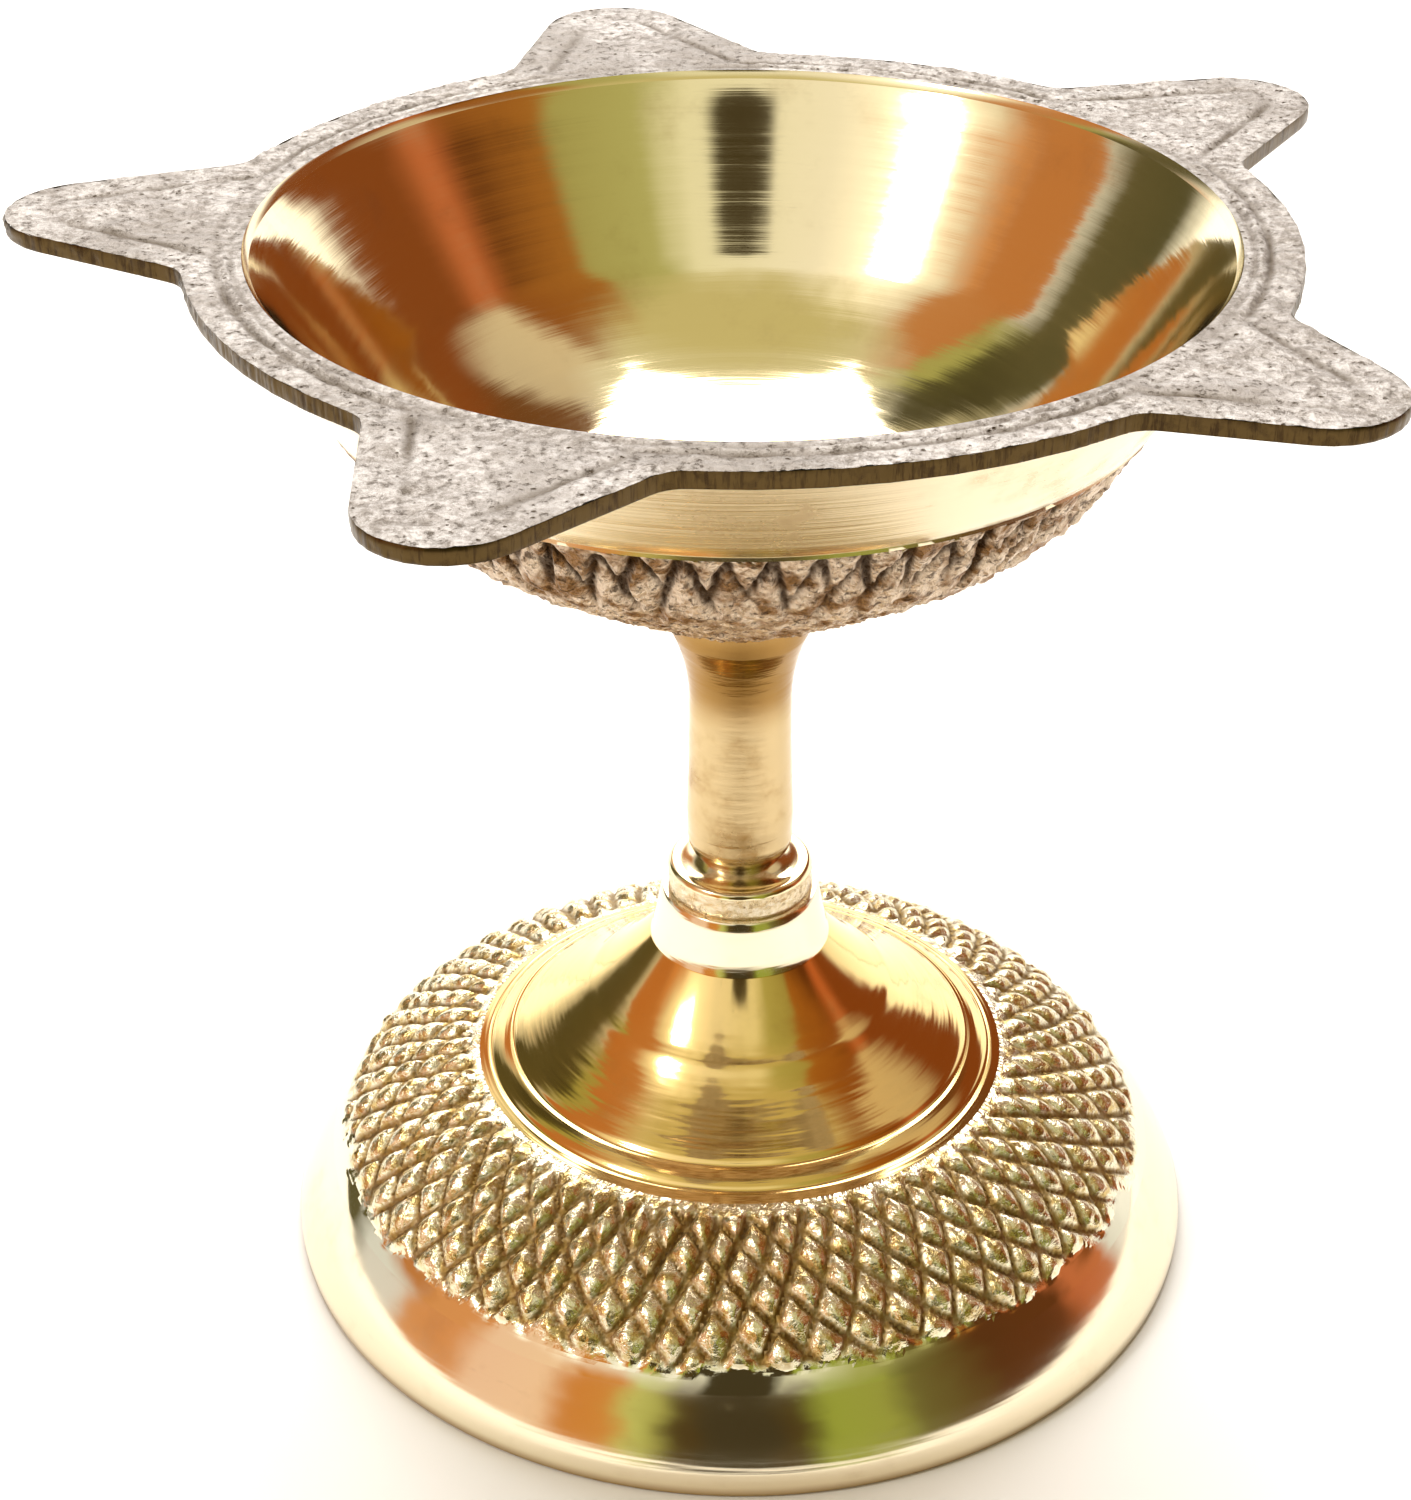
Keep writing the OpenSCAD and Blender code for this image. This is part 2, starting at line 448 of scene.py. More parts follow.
class Bench:
    """A node tree in the making, with one method that adds any node."""

    def __init__(self, tree: bpy.types.NodeTree) -> None:
        """Clears the tree."""
        self.tree = tree
        tree.nodes.clear()

    def node(self, kind: str, settings: Optional[dict[str, Any]] = None,
             sockets: Optional[dict[Union[str, int], Any]] = None) -> bpy.types.Node:
        """Adds a node.

        Args:
            kind: The node's type.
            settings: Its settings, set before its sockets; "stops" are a ramp's stops.
            sockets: The value or the wire of each named or numbered input.

        Returns:
            The node.
        """
        made = self.tree.nodes.new(kind)
        for key, value in (settings or {}).items():
            if key == "stops":
                ramp = made.color_ramp
                while len(ramp.elements) < len(value):
                    ramp.elements.new(0.5)
                for element, (place, colour) in zip(ramp.elements, value):
                    element.position = place
                    element.color = (*colour, 1)
            else:
                setattr(made, key, value)
        for key, value in (sockets or {}).items():
            if isinstance(value, Wire):
                self.tree.links.new(value.socket, made.inputs[key])
            else:
                made.inputs[key].default_value = value
        return made

    def out(self, kind: str, settings: Optional[dict[str, Any]] = None,
            sockets: Optional[dict[Union[str, int], Any]] = None,
            output: Union[str, int] = 0) -> Wire:
        """Adds a node and wraps one of its outputs."""
        return Wire(self, self.node(kind, settings, sockets).outputs[output])

    def place(self) -> Wire:
        """The place on the piece in millimetres, as a vector."""
        spot = self.out("ShaderNodeTexCoord", output="Object")
        return self.out("ShaderNodeVectorMath", {"operation": "SCALE"},
                        {0: spot, "Scale": 1 / MM})

    def axes(self, vector: Wire) -> tuple[Wire, Wire, Wire]:
        """The three parts of a vector."""
        made = self.node("ShaderNodeSeparateXYZ", None, {0: vector})
        return tuple(Wire(self, made.outputs[i]) for i in range(3))

    def vector(self, x: Union[Wire, float], y: Union[Wire, float],
               z: Union[Wire, float]) -> Wire:
        """A vector from three values."""
        return self.out("ShaderNodeCombineXYZ", None, {0: x, 1: y, 2: z})

    def cloud(self, vector: Wire, scale: float, detail: float = 3, rough: float = 0.5) -> Wire:
        """Cloudy noise from 0 to 1.

        Args:
            vector: Where it is read.
            scale: Lumps in one unit of the vector.
            detail: Number of finer layers.
            rough: How strong those layers are.

        Returns:
            The noise's value.
        """
        return self.out("ShaderNodeTexNoise", None,
                        {"Vector": vector, "Scale": scale, "Detail": detail, "Roughness": rough})

    def blend(self, mask: Union[Wire, float], low: Union[Wire, Colour],
              high: Union[Wire, Colour]) -> Wire:
        """Mixes two colours.

        Args:
            mask: 0 for the first colour, 1 for the second.
            low: The first colour.
            high: The second colour.

        Returns:
            The mixed colour.
        """
        ends = [c if isinstance(c, Wire) else (*c, 1) for c in (low, high)]
        return self.out("ShaderNodeMix", {"data_type": "RGBA"},
                        {0: mask, 6: ends[0], 7: ends[1]}, 2)


@dataclass(frozen=True)
class Finish:
    """Brass as one tool or mould leaves it.

    Args:
        name: Name of the material.
        metal: Colour of the clean metal.
        dull: Colour of its tarnished or dirty places, and of painted shade on turned metal.
        roughness: Roughness of the clean metal.
    """

    name: str
    metal: Colour
    dull: Colour
    roughness: float
    metallic: ClassVar[float] = 1.0

    def surface(self, bench: Bench) -> tuple[Wire, Wire, Wire]:
        """Colour, roughness and height in millimetres over the surface."""
        raise NotImplementedError

    def material(self) -> bpy.types.Material:
        """Makes the material.

        Returns:
            A metal whose colour, roughness and bump follow the surface.
        """
        made = bpy.data.materials.new(self.name)
        made.use_nodes = True
        bench = Bench(made.node_tree)
        colour, rough, height = self.surface(bench)
        bump = bench.out("ShaderNodeBump", None,
                         {"Strength": 1.0, "Distance": MM, "Height": height})
        shader = bench.out("ShaderNodeBsdfPrincipled", None,
                           {"Base Color": colour, "Metallic": self.metallic, "Roughness": rough,
                            "Normal": bump})
        bench.node("ShaderNodeOutputMaterial", None, {"Surface": shader})
        return made


@dataclass(frozen=True)
class Turned(Finish):
    """Brass turned and polished, with fine rings from the tool.

    Args:
        ring_height: Height of the finest rings.
        wave_height: Height of the broader rings.
        rings: Finest rings in a millimetre.
        streak: How much the rings change the roughness.
        stain: How much of the surface is tarnished, from 0 to 1.
        shade_from: Height at which painted shade starts to turn the metal dull.
        shade_to: Height past which the painted shade is full.
    """

    ring_height: float = 0.0012
    wave_height: float = 0.005
    rings: float = 5.0
    streak: float = 0.1
    stain: float = 0.25
    shade_from: float = 200.0
    shade_to: float = 201.0

    def surface(self, bench: Bench) -> tuple[Wire, Wire, Wire]:
        """Colour, roughness and height of the turned metal.

        Args:
            bench: The material's nodes in the making.

        Returns:
            The three values over the surface, the height in millimetres.
        """
        spot = bench.place()
        x, y, z = bench.axes(spot)
        radius = (x * x + y * y) ** 0.5
        way = radius + z * 0.83
        side, front = x / (radius + 1.0), y / (radius + 1.0)
        fine = bench.cloud(bench.vector(way, side * 0.5, front * 0.5), self.rings, 2, 0.6)
        broad = bench.cloud(bench.vector(way, side * 0.3, front * 0.3), self.rings / 6, 1)
        scratch = bench.cloud(bench.vector(way * 9.0, side * 14.0, front * 14.0), 1.0, 3, 0.7)
        tarnish = bench.cloud(spot, 0.16, 5, 0.62).step(0.5, 0.78) * self.stain
        line = scratch.step(0.6, 0.8)
        # Painted shade: between two heights the metal turns towards its dull colour; the stem is shaded
        # this way under the bowl, the base at its foot
        painted_shade = z.step(self.shade_from, self.shade_to) * (broad * 0.9 + 0.45)
        shade = bench.out("ShaderNodeMath", {"operation": "MAXIMUM", "use_clamp": True},
                          {0: painted_shade, 1: tarnish * (fine + 0.4) + line * 0.12})
        colour = bench.blend(shade, self.metal, self.dull)
        rough = fine * self.streak + tarnish * 0.25 + line * 0.08 + self.roughness
        height = fine * self.ring_height + broad * self.wave_height + scratch * 0.0004
        return colour, rough, height


@dataclass(frozen=True)
class SandCast(Finish):
    """Brass as it left the sand, rubbed bright on its high places.

    Args:
        pit: Colour inside the pits.
        grain_height: Height of the sand's grain.
        pits: How many pits there are, from 0 to 1.
    """

    metallic: ClassVar[float] = 0.78
    pit: Colour = (0.12, 0.085, 0.06)
    grain_height: float = 0.05
    pits: float = 0.5

    def surface(self, bench: Bench) -> tuple[Wire, Wire, Wire]:
        """Colour, roughness and height of the cast metal.

        Args:
            bench: The material's nodes in the making.

        Returns:
            The three values over the surface, the height in millimetres.
        """
        spot = bench.place()
        lumps = bench.cloud(spot, 0.9, 4, 0.65)
        sand = bench.cloud(spot, 1.7, 5, 0.74)
        patch = bench.cloud(spot, 0.28, 4, 0.62)
        cell = bench.out("ShaderNodeTexVoronoi", {"feature": "F1"},
                         {"Vector": spot, "Scale": 1.7, "Randomness": 1.0}, "Distance")
        pock = (1 - cell.step(0.08, 0.3)) * lumps.step(0.66 - 0.22 * self.pits, 0.6)
        worn = patch.step(0.36, 0.62)
        murk = bench.cloud(spot, 0.11, 3, 0.6).step(0.48, 0.66)
        scar = (1 - sand.step(0.31, 0.44)) * (0.25 + worn * 0.75)
        hollow = bench.out("ShaderNodeAttribute", {"attribute_name": "hollow"}, None, "Fac")
        dirt = bench.out("ShaderNodeMath", {"operation": "MAXIMUM", "use_clamp": True},
                         {0: pock, 1: scar * self.pits * 1.3 + hollow * (0.5 + sand * 0.7)})
        crust = sand.step(0.45, 0.62) * 0.6 + worn * 0.4
        base = bench.blend(crust * (1 - murk * 0.75), self.dull, self.metal)
        colour = bench.blend(dirt, base, self.pit)
        rough = lumps * 0.12 + dirt * 0.2 + self.roughness
        height = (lumps * 0.5 + sand * 1.1 - pock * 1.0 - scar * 0.4) * self.grain_height
        return colour, rough, height


@dataclass(frozen=True)
class HandCut(Finish):
    """Brass cut by hand with a graver, dark in the bottoms of the cuts.

    Args:
        grime: Colour in the bottoms of the cuts.
        facet_height: Height of the graver's marks.
        cast: How much of the metal is rough as cast, from 0 to 1.
        grit: Number of grains to a millimetre.
    """

    grime: Colour = (0.20, 0.11, 0.035)
    facet_height: float = 0.02
    cast: float = 0.0
    grit: float = 3.6

    def surface(self, bench: Bench) -> tuple[Wire, Wire, Wire]:
        """Colour, roughness and height of the cut metal.

        Args:
            bench: The material's nodes in the making.

        Returns:
            The three values over the surface, the height in millimetres.
        """
        spot = bench.place()
        hollow = bench.out("ShaderNodeAttribute", {"attribute_name": "hollow"}, None, "Fac")
        worked = bench.out("ShaderNodeAttribute", {"attribute_name": "worked"}, None, "Fac")
        mark = bench.cloud(spot, 2.4, 2, 0.6)
        sand = bench.cloud(spot, self.grit, 4, 0.75)
        patch = bench.cloud(spot, self.grit * 0.3, 3, 0.6)
        facet = bench.out("ShaderNodeTexVoronoi", {"feature": "F1"},
                          {"Vector": spot, "Scale": 1.6, "Randomness": 1.0}, "Distance")
        dirt = hollow.step(0.1, 0.65) * (mark * 0.5 + 0.65)
        speck = (1 - sand.step(0.36, 0.5)) * self.cast
        base = bench.blend(patch.step(0.42, 0.62) * worked, self.metal, self.dull)
        soil = bench.out("ShaderNodeMath", {"operation": "MAXIMUM", "use_clamp": True},
                         {0: dirt, 1: speck})
        colour = bench.blend(soil * worked, base, self.grime)
        rough = (soil * 0.25 + mark * 0.1 + self.roughness + self.cast * 0.1) * worked + 0.05
        height = (mark + facet * 0.6 + sand * (0.25 + self.cast)) * worked * self.facet_height
        return colour, rough, height


@dataclass(frozen=True)
class Filed(Finish):
    """A cast edge dressed with a file, whose strokes run across it.

    Args:
        stroke_height: Height of the file's strokes.
    """

    stroke_height: float = 0.02

    def surface(self, bench: Bench) -> tuple[Wire, Wire, Wire]:
        """Colour, roughness and height of the filed edge.

        Args:
            bench: The material's nodes in the making.

        Returns:
            The three values over the surface, the height in millimetres.
        """
        spot = bench.place()
        x, y, z = bench.axes(spot)
        stroke = bench.cloud(bench.vector(x * 3.2, y * 3.2, z * 0.35), 1.0, 3, 0.7)
        lump = bench.cloud(spot, 0.9, 4, 0.6)
        dirt = (1 - stroke.step(0.36, 0.52)) * 0.8 + (1 - lump.step(0.35, 0.5)) * 0.5
        colour = bench.blend(dirt, self.metal, self.dull)
        rough = lump * 0.25 + self.roughness
        return colour, rough, (stroke + lump * 0.8) * self.stroke_height


@dataclass(frozen=True)
class Threaded(Finish):
    """Brass rod with a cut thread, unpolished and a little oily."""

    def surface(self, bench: Bench) -> tuple[Wire, Wire, Wire]:
        """Colour, roughness and height of the threaded rod.

        Args:
            bench: The material's nodes in the making.

        Returns:
            The three values over the surface, the height in millimetres.
        """
        spot = bench.place()
        patch = bench.cloud(spot, 1.2, 4, 0.6)
        fine = bench.cloud(spot, 9.0, 2, 0.6)
        colour = bench.blend(patch.step(0.4, 0.7), self.metal, self.dull)
        return colour, patch * 0.2 + self.roughness, fine * 0.01


BRASS: Colour = (0.90, 0.77, 0.48)
BROWN: Colour = (0.42, 0.26, 0.09)


# ---------------------------------------------------------------- base

class BaseZone(Enum):
    """Finishes of the base casting."""

    MIRROR = 0
    DIAMONDS = 1
    INSIDE = 2
    MARGIN = 3


@dataclass
class Base:
    """The hollow foot with its band of hand-cut diamonds, its slope and its neck."""

    columns: int = 720
    foot_r: float = 32.5
    lip: float = 1.4
    edge: float = 0.4
    shoulder: Point = (18.8, 13.5)
    bulge: float = 2.35
    sink: float = 0.9
    neck_low: Point = (6.3, 23.2)
    neck_top_r: float = 5.5
    seat_z: float = 27.1
    wall: float = 1.8
    boss_r: float = 5.6
    boss_low_z: float = 14.2
    bore_r: float = 2.05
    ring_cuts: tuple[float, ...] = (16.3, 17.9)
    ring_depth: float = 0.16
    ring_width: float = 0.2
    ring_reach: float = 0.42
    ring_step: float = 0.1
    ridge_r: float = 10.7
    ridge_height: float = 0.08
    ridge_width: float = 0.5
    dome_step: float = 0.29
    diamond_r: float = 29.9
    rough_edge: Point = (1.0, 2.2)
    crease: float = 42.0
    diamonds: CutPattern = CutPattern((66, 52), (5.9, -3.2), 0.7, 0.30, 0.42, 0.36, 0.07, 0.12,
                                       11.8, 0.6, 7)

    def band(self, places: np.ndarray) -> tuple[np.ndarray, np.ndarray, np.ndarray]:
        """Where points of the dome lie in the band of diamonds.

        Args:
            places: Points on the dome.

        Returns:
            Angle around the axis, distance from the shoulder along the dome, and radius.
        """
        dome = self.dome
        cx, cz = dome.centre
        angle, radius = around(places)
        spot = np.arctan2(places[:, 2] - cz, radius - cx)
        first = math.atan2(self.shoulder[1] - cz, self.shoulder[0] - cx)
        return angle, (first - spot) * dome.radius, radius

    @property
    def dome(self) -> Bow:
        """The outline of the domed foot, from its lip to the shoulder."""
        return Bow((self.foot_r, self.lip), self.shoulder, self.bulge)

    def cut(self, places: np.ndarray) -> np.ndarray:
        """Moves the dome's points in and out of the diamonds.

        Args:
            places: Points on the dome.

        Returns:
            The moved points.
        """
        angle, along, radius = self.band(places)
        relief, _, _ = self.diamonds.relief(angle, along, radius)
        cx, cz = self.dome.centre
        out = (radius - cx) / self.dome.radius * relief
        up = (places[:, 2] - cz) / self.dome.radius * relief
        return pushed(places, angle, out, up)

    def marks(self, places: np.ndarray) -> np.ndarray:
        """How deep in a groove the dome's points lie, and whether they are worked.

        Args:
            places: Points on the dome.

        Returns:
            Two numbers for each point, from 0 to 1.
        """
        band = self.band(places)
        marks = self.diamonds.marks(*band)
        marks[:, 1] = np.maximum(marks[:, 1], 1 - smooth_step(*self.rough_edge, band[1]))
        return marks

    def score(self, places: np.ndarray) -> np.ndarray:
        """Sinks the turned rings into the slope and lifts its ridge.

        Args:
            places: Points on the slope.

        Returns:
            The moved points.
        """
        angle, radius = around(places)
        sunk = sum(bell(radius, ring, self.ring_width) for ring in self.ring_cuts)
        ridge = self.ridge_height * bell(radius, self.ridge_r, self.ridge_width)
        return pushed(places, angle, radius * 0, ridge - sunk * self.ring_depth)

    def slope(self, step: float) -> list[Point]:
        """The slope's outline, closer where rings are cut.

        Args:
            step: Distance between points away from the rings.

        Returns:
            Points from the shoulder to the neck.
        """
        fine = Bow(self.shoulder, self.neck_low, -self.sink).points(0.08)
        kept, last = [self.shoulder], self.shoulder
        for spot in fine:
            apart = min(abs(spot[0] - ring) for ring in (*self.ring_cuts, self.ridge_r))
            least = self.ring_step if apart < self.ring_reach else step
            if math.dist(spot, last) >= least or spot is fine[-1]:
                kept.append(spot)
                last = spot
        return kept

    def build(self) -> bpy.types.Object:
        """Builds and dresses the base.

        Returns:
            The base casting.
        """
        turning = Turning(self.columns)
        foot = self.foot_r
        turning.zone([(foot - self.edge, 0), (foot - 0.12, 0.12), (foot, self.edge),
                      (foot, self.lip)], BaseZone.MARGIN)
        dome = self.dome.points(self.dome_step)
        split = next(i for i, spot in enumerate(dome) if spot[0] < self.diamond_r)
        turning.zone([(foot, self.lip), *self.dome.points(self.dome_step * 2)[:1], *dome[3:split + 1:3],
                      dome[split]], BaseZone.MARGIN)
        turning.zone(dome[split:], BaseZone.DIAMONDS, self.cut, self.marks)
        turning.zone(self.slope(0.62), BaseZone.MIRROR, self.score)
        turning.zone([self.neck_low, (6.1, 24.2), (5.85, 25.2), (5.66, 26.2),
                      (self.neck_top_r + 0.04, self.seat_z - 0.15),
                      (self.neck_top_r - 0.1, self.seat_z), (3.6, self.seat_z),
                      (self.bore_r, self.seat_z)], BaseZone.MARGIN)
        inner = (self.shoulder[0] - self.wall * 0.62, self.shoulder[1] - self.wall * 1.05)
        boss = (self.boss_r, self.neck_low[1] - self.wall * 2.6)
        turning.zone([(self.bore_r, self.seat_z), (self.bore_r, self.boss_low_z),
                      (self.boss_r, self.boss_low_z), boss,
                      *Bow(boss, inner, self.sink).points(2.4),
                      *Bow(inner, (foot - self.wall, 0), -self.bulge).points(1.8),
                      (foot - self.edge, 0)], BaseZone.INSIDE)
        made = turning.piece("base_casting", [
            Turned("base_mirror", (0.88, 0.63, 0.25), BROWN, 0.05, 0.05, 0.11, 2.6, 0.1,
                   0.3).material(),
            HandCut("base_diamonds", (0.91, 0.84, 0.62), (0.62, 0.46, 0.19), 0.13,
                    (0.27, 0.165, 0.045), 0.09).material(),
            SandCast("base_inside", (0.55, 0.42, 0.24), (0.4, 0.28, 0.13), 0.42).material(),
            # Painted shade: the margin darkens below 1.1 mm, along the foot where it meets the floor
            Turned("base_margin", (0.91, 0.81, 0.60), BROWN, 0.06, 0.02, 0.05, 2.6, 0.1, 0.3,
                   1.1, 0.1).material()], self.crease)
        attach(made, "base")
        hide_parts("base")
        return made


# ---------------------------------------------------------------- collar and stem

class CollarZone(Enum):
    """Finishes of the collar."""

    MIRROR = 0
    SIDE = 1


@dataclass
class Collar:
    """The loose ring between base and stem, turned on top and pitted as cast on its side."""

    columns: int = 260
    outer_r: float = 5.05
    low_z: float = 27.1
    edge_z: float = 28.8
    top_z: float = 29.2
    heel: Point = (2.95, 29.75)
    bore_r: float = 2.06
    pit_count: int = 26
    pit_sizes: Point = (0.1, 0.24)
    pit_depth: float = 0.55
    side_grain: float = 0.05
    most_inward: Point = (-0.06, 0.3)
    step: float = 0.1
    crease: float = 38.0
    seed: int = 11

    def pitted(self, places: np.ndarray) -> np.ndarray:
        """Roughens the side and sinks pits into it.

        Args:
            places: Points on the side.

        Returns:
            The points moved in or out.
        """
        rng = np.random.default_rng(self.seed)
        angle, _ = around(places)
        inward = -self.side_grain * grain(places, 0.9, 3, 4)
        for spot, height, size in zip(rng.uniform(-math.pi, math.pi, self.pit_count),
                                      rng.uniform(self.low_z + 0.3, self.edge_z, self.pit_count),
                                      rng.uniform(*self.pit_sizes, self.pit_count)):
            apart = np.hypot((np.mod(angle - spot + math.pi, math.tau) - math.pi)
                             * self.outer_r, places[:, 2] - height)
            inward += self.pit_depth * size * np.exp(-(apart / size) ** 2)
        border = smooth_step(self.low_z, self.low_z + 0.2, places[:, 2]) * 0.6 + 0.4
        border *= 1 - smooth_step(self.edge_z - 0.15, self.edge_z, places[:, 2])
        return pushed(places, angle, -np.clip(inward * border, *self.most_inward))

    def build(self) -> bpy.types.Object:
        """Builds and dresses the collar.

        Returns:
            The collar.
        """
        turning = Turning(self.columns)
        rim = (self.outer_r, self.edge_z)
        lip = (self.outer_r - 0.36, self.top_z)
        low = (self.outer_r - 0.12, self.low_z)
        brim = (self.outer_r, self.low_z + 0.25)
        turning.zone([low, *straight(low, brim, self.step), *straight(brim, rim, self.step)],
                     CollarZone.SIDE, self.pitted)
        turning.zone([rim, (self.outer_r - 0.06, self.edge_z + 0.18),
                      (self.outer_r - 0.2, self.top_z - 0.05), lip,
                      (4.35, self.top_z - 0.05), (4.1, self.top_z - 0.03), (3.7, 29.26),
                      (3.3, 29.46), self.heel, (self.bore_r, self.heel[1]),
                      (self.bore_r, self.low_z), (3.5, self.low_z), low], CollarZone.MIRROR)
        made = turning.piece("collar_ring", [
            Turned("collar_top", BRASS, BROWN, 0.08).material(),
            SandCast("collar_side", (0.92, 0.83, 0.66), (0.80, 0.64, 0.38), 0.2,
                     (0.24, 0.13, 0.04), 0.05, 0.3).material()], self.crease)
        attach(made, "collar")
        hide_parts("collar")
        return made


class StemZone(Enum):
    """Finishes of the stem."""

    MIRROR = 0
    BORE = 1


@dataclass
class Stem:
    """The turned shaft, with a swell low down and a flared head under the bowl."""

    columns: int = 180
    heel: Point = (2.95, 29.75)
    swell: Point = (3.68, 33.6)
    heel_top_z: float = 31.7
    waist: Point = (3.5, 41.6)
    head_r: float = 4.65
    top_z: float = 48.9
    bore_r: float = 2.02
    low_bore_z: float = 36.05
    high_bore_z: float = 43.6
    crease: float = 40.0

    def build(self) -> bpy.types.Object:
        """Builds and dresses the stem.

        Returns:
            The stem.
        """
        turning = Turning(self.columns)
        shoulder = (self.swell[0] - 0.06, self.heel_top_z)
        throat = (self.head_r, self.top_z - 1.4)
        turning.zone([(self.bore_r, self.heel[1]), self.heel,
                      *Bow(self.heel, shoulder, 0.25).points(0.2),
                      *Bow(shoulder, self.swell, 0.02).points(0.5),
                      *Bow(self.swell, self.waist, -0.05).points(0.5),
                      *Bow(self.waist, throat, -0.35).points(0.3),
                      (self.head_r, self.top_z), (self.bore_r, self.top_z)], StemZone.MIRROR)
        turning.zone([(self.bore_r, self.heel[1]), (self.bore_r, self.low_bore_z),
                      (0, self.low_bore_z)], StemZone.BORE)
        turning.zone([(self.bore_r, self.top_z), (self.bore_r, self.high_bore_z),
                      (0, self.high_bore_z)], StemZone.BORE)
        made = turning.piece("stem_shaft", [
            # Painted shade: the stem's metal is set darker than the other brass, and darkens further
            # from 40.5 mm up under the bowl
            Turned("stem_polish", (0.60, 0.455, 0.245), (0.32, 0.17, 0.04), 0.1, 0.04, 0.08, 2.2,
                   0.14, 1.0, 40.5, 44.0).material(),
            Threaded("stem_bore", (0.6, 0.45, 0.2), BROWN, 0.3).material()], self.crease)
        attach(made, "upper")
        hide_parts("stem")
        return made


@dataclass
class StemStud:
    """The threaded rod that holds the stem in the base."""

    pitch: float = 0.7
    core_r: float = 1.62
    crest_r: float = 1.98
    steps: int = 28
    sides: int = 40
    bevel: float = 0.3
    plain_end: float = 0.8
    crease: float = 35.0

    def build(self) -> bpy.types.Object:
        """Builds the rod and winds its thread.

        Returns:
            The stud.
        """
        low, high = (corner[2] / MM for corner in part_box("stem_stud"))
        bm = bmesh.new()
        rod = [(0, low), (self.core_r - self.bevel, low), (self.core_r, low + self.bevel),
               (self.core_r, high - self.bevel), (self.core_r - self.bevel, high), (0, high)]
        verts = [bm.verts.new((r, 0, z)) for r, z in rod]
        edges = [bm.edges.new(pair) for pair in zip(verts, verts[1:])]
        bmesh.ops.spin(bm, geom=verts + edges, cent=(0, 0, 0), axis=(0, 0, 1),
                       angle=math.tau, steps=self.sides, use_merge=True)
        turns = math.floor((high - low - self.plain_end * 2) / self.pitch)
        root, half = self.core_r - 0.04, self.pitch * 0.46
        start = low + self.plain_end
        ridge = [bm.verts.new((r, 0, z)) for r, z in
                 ((root, start - half), (self.crest_r, start - 0.05),
                  (self.crest_r, start + 0.05), (root, start + half))]
        loop = [bm.edges.new((ridge[i - 1], ridge[i])) for i in range(4)]
        wound = bmesh.ops.spin(bm, geom=ridge + loop, cent=(0, 0, 0), axis=(0, 0, 1),
                               angle=math.tau * turns, steps=self.steps * turns,
                               dvec=(0, 0, self.pitch / self.steps))
        last = [item for item in wound["geom_last"] if isinstance(item, bmesh.types.BMVert)]
        bm.faces.new(ridge)
        bm.faces.new(last)
        thread = Threaded("stud_thread", (0.74, 0.56, 0.26), BROWN, 0.22).material()
        made = finished(bm, "stem_stud_thread", [thread], self.crease)
        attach(made, "upper")
        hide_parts("stem_stud")
        return made


# ---------------------------------------------------------------- bowl

class BowlZone(Enum):
    """Finishes of the bowl's wall."""

    MIRROR = 0
    PLAIN = 1
    CHISELLED = 2


